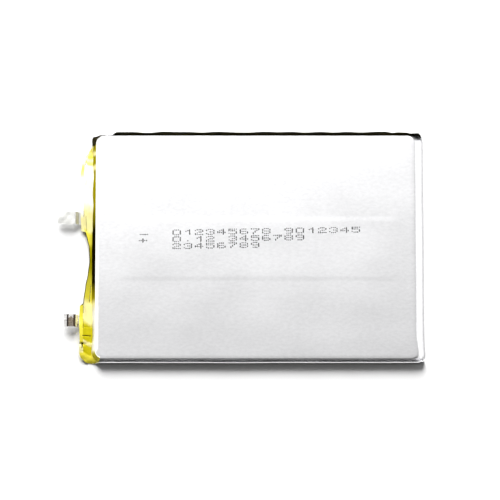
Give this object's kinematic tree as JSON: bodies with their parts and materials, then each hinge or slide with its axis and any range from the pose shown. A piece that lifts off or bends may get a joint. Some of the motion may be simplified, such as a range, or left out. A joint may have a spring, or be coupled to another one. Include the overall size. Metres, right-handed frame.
{
  "type": "pouch battery cell",
  "caption": "Flat rectangular lithium pouch cell: wound roll sealed in a silver laminate bag with folded side seals, yellow taped terrace and two foil tabs at one end.",
  "frame": {"origin": "middle of the 111 mm by 75 mm footprint, on the flat underside of the bag", "axes": "+X along the length to the folded end, with the tabs at -X; +Y across the width towards the positive tab's side; +Z out of the drawn face"},
  "size_m": [0.1179, 0.0762, 0.0035],
  "materials": {
    "laminate": "satin",
    "separator": "satin",
    "copper_foil": "satin",
    "graphite": "matte",
    "aluminium_foil": "satin",
    "cathode_powder": "matte",
    "roll_tape": "gloss",
    "aluminium_tab": "satin",
    "nickel_tab": "satin",
    "tab_film": "satin",
    "terrace_tape": "gloss"
  },
  "bodies": {
    "cell": {"pouch_cup": "laminate", "pouch_cover": "laminate", "separator_inner": "separator", "separator_outer": "separator", "anode_foil": "copper_foil", "anode_coating_inner": "graphite", "anode_coating_outer": "graphite", "cathode_foil": "aluminium_foil", "cathode_coating_inner": "cathode_powder", "cathode_coating_outer": "cathode_powder", "roll_closing_tape": "roll_tape", "positive_weld_tape": "roll_tape", "negative_weld_tape": "roll_tape", "positive_tab_root": "aluminium_tab", "negative_tab_root": "nickel_tab", "positive_film_upper": "tab_film", "positive_film_lower": "tab_film", "negative_film_upper": "tab_film", "negative_film_lower": "tab_film", "terrace_tape_upper": "terrace_tape", "terrace_tape_under": "terrace_tape"},
    "positive_tab": {"positive_tab": "aluminium_tab"},
    "negative_tab": {"negative_tab": "nickel_tab"}
  },
  "joints": [
    {"name": "positive_tab_bend", "type": "hinge", "parent": "cell", "child": "positive_tab", "pos_m": [-0.0563, 0.0096, 0.00146], "axis": [0, 1, 0], "range_deg": [-12, 90]},
    {"name": "negative_tab_bend", "type": "hinge", "parent": "cell", "child": "negative_tab", "pos_m": [-0.0563, -0.0241, 0.00146], "axis": [0, 1, 0], "range_deg": [-12, 90]}
  ]
}
